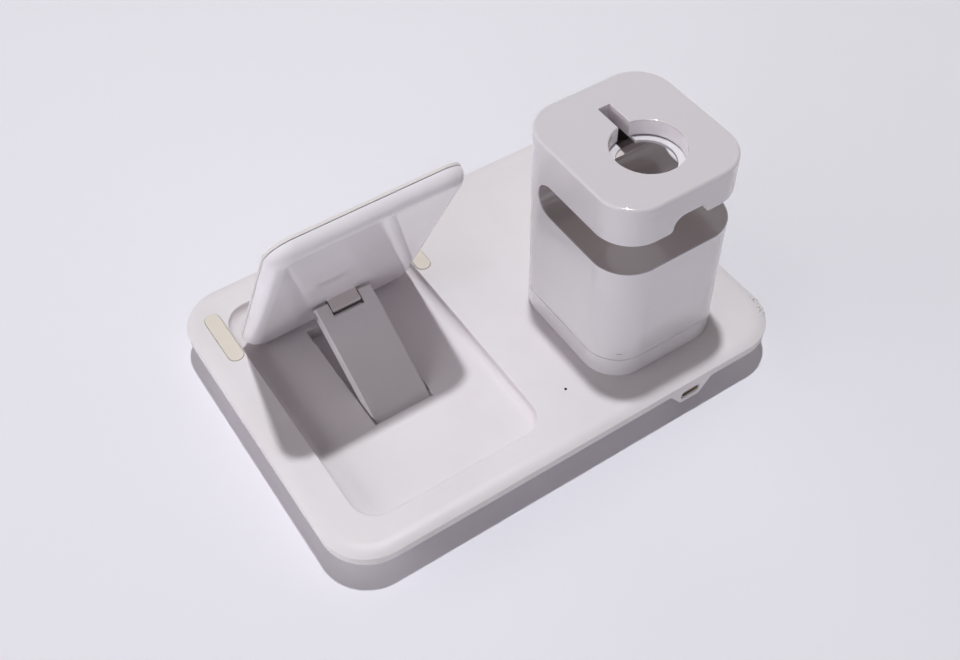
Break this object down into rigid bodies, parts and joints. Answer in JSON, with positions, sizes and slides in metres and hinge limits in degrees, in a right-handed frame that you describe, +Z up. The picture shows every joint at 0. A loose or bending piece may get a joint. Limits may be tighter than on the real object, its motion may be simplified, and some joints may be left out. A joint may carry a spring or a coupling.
{
  "type": "charging station",
  "caption": "Desk charging station: low white base with a fold-up phone panel on a hinged leg and a fixed tower with a strap slot and a keyhole seat for a watch charging puck.",
  "frame": {"origin": "on the table under the middle of the base", "axes": "+X along the base from the phone panel to the tower, +Y away from the side with the power socket, +Z up; the panel stands raised"},
  "size_m": [0.212, 0.1538, 0.1221],
  "materials": {
    "satin_white": "satin moulded",
    "gloss_white": "glossy moulded",
    "soft_white": "soft matt coating",
    "cream_silicone": "matt silicone",
    "foot_rubber": "matt rubber",
    "bare_steel": "bare",
    "dark_lens": "dark, unlit",
    "board_green": "solder mask",
    "black_parts": "moulded packages",
    "nylon": "plain",
    "copper": "enamelled wire",
    "ferrite": "matt sheet"
  },
  "bodies": {
    "base": {"base_top_shell": "satin_white", "base_bottom_shell": "satin_white", "rubber_feet": "foot_rubber", "base_screws": "bare_steel", "left_grip_pad": "cream_silicone", "right_grip_pad": "cream_silicone", "status_light": "dark_lens", "usb_c_socket": "bare_steel", "main_board": "board_green", "board_parts": "black_parts", "board_screws": "bare_steel", "leg_friction_washers": "nylon", "leg_hinge_pin": "bare_steel", "tower_foot_ring": "gloss_white", "tower_shell": "gloss_white", "puck_ledge": "gloss_white", "tower_screws": "bare_steel", "ledge_screws": "bare_steel"},
    "leg": {"support_leg": "satin_white", "panel_hinge_pin": "bare_steel"},
    "panel": {"panel_back_shell": "gloss_white", "panel_front_cover": "soft_white", "phone_charging_coil": "copper", "coil_ferrite_sheet": "ferrite"}
  },
  "joints": [
    {"name": "leg_fold", "type": "hinge", "parent": "base", "child": "leg", "pos_m": [-0.0483, -0.01865, 0.0103], "axis": [1, 0, 0], "range_deg": [-31.1, 0]},
    {"name": "panel_tilt", "type": "hinge", "parent": "leg", "child": "panel", "pos_m": [-0.0483, 0.02399, 0.03602], "axis": [1, 0, 0], "range_deg": [0, 92.8]}
  ],
  "couplings": [
    {"joint": "panel_tilt", "follows": "leg_fold", "ratio": -2.9839}
  ]
}
